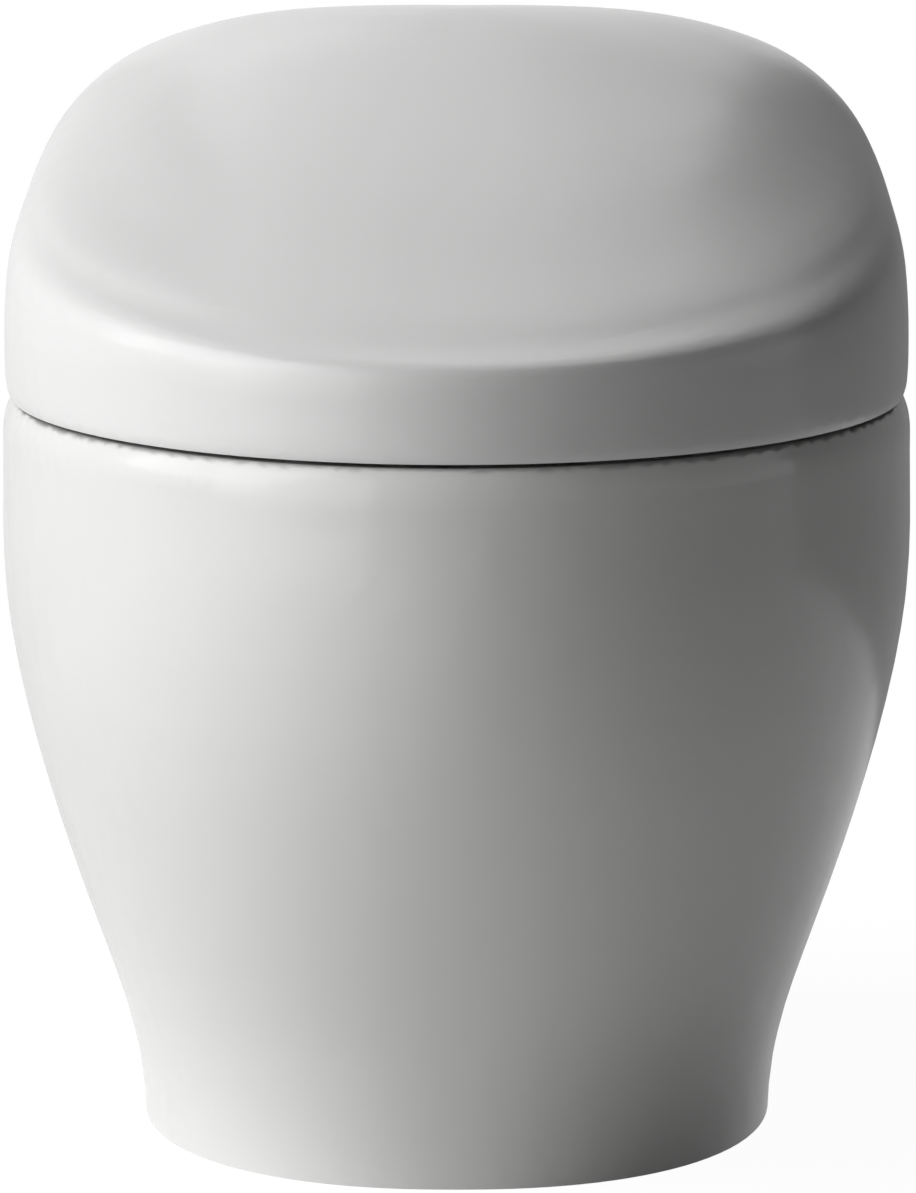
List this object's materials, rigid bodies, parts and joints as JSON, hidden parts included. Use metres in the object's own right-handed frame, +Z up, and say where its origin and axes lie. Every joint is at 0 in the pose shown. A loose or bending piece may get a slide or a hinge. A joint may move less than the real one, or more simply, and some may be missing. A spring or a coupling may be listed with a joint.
{
  "type": "bidet toilet",
  "caption": "Floor-standing skirted toilet with a tall domed lid, heated ring seat, slide-out wash wand, warm-air dryer and pumped flush in a white oval body.",
  "frame": {"origin": "on the floor under the middle of the overall length and width", "axes": "+X to the object's left as it faces the viewer's front (right side of the front view), +Y from the front towards the back, +Z up"},
  "size_m": [0.4544, 0.7902, 0.542],
  "materials": {
    "china": "bright white glaze, a little brighter and thinner at sharp edges; unglazed foot",
    "shell": "gloss white moulded resin",
    "seat": "gloss white moulded resin",
    "unit": "semi-gloss white moulded resin",
    "inner_plastic": "light grey moulded resin, matt",
    "dark_plastic": "black moulded resin, matt",
    "buffer": "pale grey elastomer",
    "black_rubber": "black elastomer",
    "steel": "stainless steel, fine brushed",
    "zinc": "zinc-plated pressed steel",
    "pipe": "translucent natural polypropylene look, made opaque",
    "board": "green laminate with dark parts",
    "foil": "heater foil",
    "window": "dark gloss window",
    "filter": "dark grey cartridge",
    "wash_plastic": "gloss white wand"
  },
  "bodies": {
    "base": {"ceramic_body": "china", "rear_cover": "shell", "unit_cover": "unit", "unit_base": "inner_plastic", "unit_bracket": "steel", "unit_bolts": "steel", "unit_nuts": "zinc", "hinge_drives": "inner_plastic", "hinge_pins": "steel", "wand_cradle": "inner_plastic", "wand_motor": "zinc", "dryer_duct": "inner_plastic", "dryer_heater": "foil", "blower_housing": "dark_plastic", "filter_holder": "inner_plastic", "water_heater": "inner_plastic", "valve_block": "dark_plastic", "control_board": "board", "button_board": "board", "sensor_window": "window", "mains_gland": "black_rubber", "flush_tank": "pipe", "pump_housing": "dark_plastic", "jet_pipe": "pipe", "rim_pipe": "pipe", "inlet_valve": "inner_plastic", "waste_seal": "black_rubber", "floor_brackets": "zinc", "side_screws": "steel", "screw_caps": "unit"},
    "seat": {"seat_top": "seat", "seat_base": "seat", "seat_heater": "foil", "seat_buffers": "buffer"},
    "lid": {"lid_shell": "shell", "lid_buffers": "buffer"},
    "wand": {"wand": "wash_plastic", "wand_tip": "wash_plastic"},
    "pinion": {"wand_pinion": "inner_plastic"},
    "shutter": {"shutter": "unit"},
    "fan": {"blower_fan": "dark_plastic"},
    "impeller": {"pump_impeller": "inner_plastic"},
    "cartridge": {"deodoriser": "filter"},
    "key_1": {"button_1": "unit"},
    "key_2": {"button_2": "unit"},
    "key_3": {"button_3": "unit"},
    "key_4": {"button_4": "unit"}
  },
  "joints": [
    {"name": "seat_hinge", "type": "hinge", "parent": "base", "child": "seat", "pos_m": [0, 0.193, 0.494], "axis": [1, 0, 0], "range_deg": [-97, 0]},
    {"name": "lid_hinge", "type": "hinge", "parent": "seat", "child": "lid", "pos_m": [0, 0.193, 0.494], "axis": [-1, 0, 0], "range_deg": [0, 100]},
    {"name": "wand_slide", "type": "slide", "parent": "base", "child": "wand", "axis": [0, -0.8192, -0.5736], "range_m": [0, 0.11]},
    {"name": "pinion_turn", "type": "hinge", "parent": "base", "child": "pinion", "pos_m": [0.0205, 0.10294, 0.38386], "axis": [0, -0.5736, 0.8192], "range_deg": [0, 701]},
    {"name": "shutter_hinge", "type": "hinge", "parent": "base", "child": "shutter", "pos_m": [0, 0.055, 0.3642], "axis": [-1, 0, 0], "range_deg": [0, 63]},
    {"name": "fan_spin", "type": "hinge", "parent": "base", "child": "fan", "pos_m": [-0.076, 0.261, 0.38], "axis": [0, 0, 1], "continuous": true},
    {"name": "impeller_spin", "type": "hinge", "parent": "base", "child": "impeller", "pos_m": [-0.03, 0.289, 0.065], "axis": [0, 0, 1], "continuous": true},
    {"name": "cartridge_slide", "type": "slide", "parent": "base", "child": "cartridge", "axis": [-1, 0, 0], "range_m": [0, 0.03]},
    {"name": "key_1_press", "type": "slide", "parent": "base", "child": "key_1", "axis": [0, 0.7203, -0.6937], "range_m": [0, 0.0012], "stiffness_N_per_m": 700, "springref_m": -0.001},
    {"name": "key_2_press", "type": "slide", "parent": "base", "child": "key_2", "axis": [0, 0.7203, -0.6937], "range_m": [0, 0.0012], "stiffness_N_per_m": 700, "springref_m": -0.001},
    {"name": "key_3_press", "type": "slide", "parent": "base", "child": "key_3", "axis": [0, 0.7203, -0.6937], "range_m": [0, 0.0012], "stiffness_N_per_m": 700, "springref_m": -0.001},
    {"name": "key_4_press", "type": "slide", "parent": "base", "child": "key_4", "axis": [0, 0.7203, -0.6937], "range_m": [0, 0.0012], "stiffness_N_per_m": 700, "springref_m": -0.001}
  ],
  "couplings": [
    {"joint": "pinion_turn", "follows": "wand_slide", "rad_per_m": 111.11},
    {"joint": "shutter_hinge", "follows": "wand_slide", "rad_per_m": 9.996}
  ]
}
